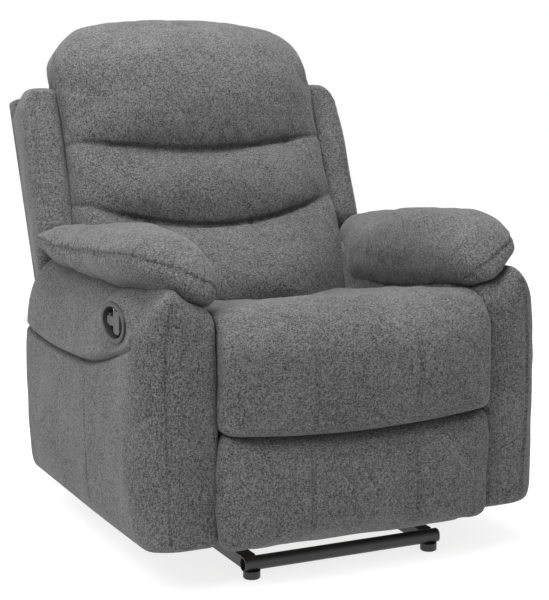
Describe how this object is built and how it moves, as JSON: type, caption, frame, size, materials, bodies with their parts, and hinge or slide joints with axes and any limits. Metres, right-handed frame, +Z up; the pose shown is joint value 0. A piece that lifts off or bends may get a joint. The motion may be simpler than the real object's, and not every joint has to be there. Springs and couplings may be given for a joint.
{
  "type": "recliner armchair",
  "caption": "Upholstered recliner armchair with pillow arms, stuffed channel back, side release lever, fold-out footrest and a low black steel base.",
  "frame": {"origin": "on the floor under the middle of the chair's outline", "axes": "+Z up, the sitter faces -Y, the release lever is on -X"},
  "size_m": [0.8548, 1.0308, 1.0183],
  "materials": {
    "black_steel": "satin black powder coat",
    "link_steel": "black painted pressed steel",
    "plated_steel": "zinc plated steel",
    "black_plastic": "black moulded plastic, fine grain",
    "grey_plastic": "dark grey moulded plastic, satin",
    "cable_sheath": "black plastic cable sheath",
    "felt": "needled felt pad over the springs",
    "wood": "birch plywood and softwood, unfinished",
    "grey_fabric": "grey heathered woven upholstery cloth over foam"
  },
  "bodies": {
    "base": {"base_rail_left": "black_steel", "base_rail_right": "black_steel", "cross_tube_front": "black_steel", "cross_tube_rear": "black_steel", "glide_feet": "black_plastic", "base_brackets": "black_steel", "base_pivot_pins": "plated_steel"},
    "front_carriers": {"front_carrier_links": "link_steel"},
    "rear_carriers": {"rear_carrier_links": "link_steel"},
    "lever": {"lever_paddle": "grey_plastic"},
    "latch": {"latch_pawl": "link_steel"},
    "first_links": {"first_footrest_links": "link_steel", "first_link_pins": "plated_steel", "footrest_drive_bar": "link_steel"},
    "second_links": {"second_footrest_links": "link_steel"},
    "footrest": {"footrest_brackets": "link_steel", "second_link_pins": "plated_steel", "footrest_board": "wood", "footrest_pad": "grey_fabric"},
    "backrest": {"back_brackets": "link_steel", "back_post_left": "wood", "back_post_right": "wood", "back_rail_top": "wood", "back_rail_bottom": "wood", "back_springs": "plated_steel", "back_cushion": "grey_fabric", "back_wing_left": "grey_fabric", "back_wing_right": "grey_fabric", "back_panel": "grey_fabric"},
    "seat": {"arm_front_pad_left": "grey_fabric", "arm_front_pad_right": "grey_fabric", "arm_inner_panel_left": "wood", "arm_inner_panel_right": "wood", "arm_outer_panel_left": "wood", "arm_outer_panel_right": "wood", "arm_pad_left": "grey_fabric", "arm_pad_right": "grey_fabric", "arm_posts_left": "wood", "arm_posts_right": "wood", "arm_side_pad_left": "grey_fabric", "arm_side_pad_right": "grey_fabric", "arm_top_board_left": "wood", "arm_top_board_right": "wood", "latch_pin": "plated_steel", "lever_bezel": "black_plastic", "lever_pin": "plated_steel", "rear_skirt": "grey_fabric", "release_cable": "cable_sheath", "seat_bolts": "plated_steel", "seat_cushion": "grey_fabric", "seat_felt": "felt", "seat_pivot_pins": "plated_steel", "seat_plate_left": "link_steel", "seat_plate_right": "link_steel", "seat_rail_front": "wood", "seat_rail_left": "wood", "seat_rail_rear": "wood", "seat_rail_right": "wood", "seat_springs": "plated_steel", "spring_clips": "plated_steel"}
  },
  "joints": [
    {"name": "recline", "type": "hinge", "parent": "seat", "child": "backrest", "pos_m": [0, 0.165, 0.25], "axis": [-1, 0, 0], "range_deg": [0, 32]},
    {"name": "front_carrier_swing", "type": "hinge", "parent": "base", "child": "front_carriers", "pos_m": [0, -0.26, 0.058], "axis": [1, 0, 0], "range_deg": [0, 50]},
    {"name": "seat_level", "type": "hinge", "parent": "front_carriers", "child": "seat", "pos_m": [0, -0.21774, 0.14863], "axis": [-1, 0, 0], "range_deg": [0, 50]},
    {"name": "rear_carrier_swing", "type": "hinge", "parent": "base", "child": "rear_carriers", "pos_m": [0, 0.1, 0.058], "axis": [1, 0, 0], "range_deg": [0, 50]},
    {"name": "footrest_extend", "type": "hinge", "parent": "seat", "child": "first_links", "pos_m": [0, -0.385, 0.225], "axis": [-1, 0, 0], "range_deg": [0, 110]},
    {"name": "second_link_swing", "type": "hinge", "parent": "first_links", "child": "second_links", "pos_m": [0, -0.36932, 0.07582], "axis": [1, 0, 0], "range_deg": [0, 176]},
    {"name": "footrest_turn", "type": "hinge", "parent": "second_links", "child": "footrest", "pos_m": [0, -0.38239, 0.22525], "axis": [-1, 0, 0], "range_deg": [0, 154]},
    {"name": "lever_pull", "type": "hinge", "parent": "seat", "child": "lever", "pos_m": [-0.398, -0.279, 0.477], "axis": [0, 0, -1], "range_deg": [0, 25], "stiffness_Nm_per_rad": 0.6, "springref_deg": -8.59},
    {"name": "latch_release", "type": "hinge", "parent": "seat", "child": "latch", "pos_m": [0, -0.3, 0.178], "axis": [1, 0, 0], "range_deg": [0, 20]}
  ],
  "couplings": [
    {"joint": "front_carrier_swing", "follows": "recline", "ratio": 1.5625},
    {"joint": "seat_level", "follows": "recline", "ratio": 1.5625},
    {"joint": "rear_carrier_swing", "follows": "recline", "ratio": 1.5625},
    {"joint": "second_link_swing", "follows": "footrest_extend", "ratio": 1.6},
    {"joint": "footrest_turn", "follows": "footrest_extend", "ratio": 1.4},
    {"joint": "latch_release", "follows": "lever_pull", "ratio": 0.8}
  ]
}
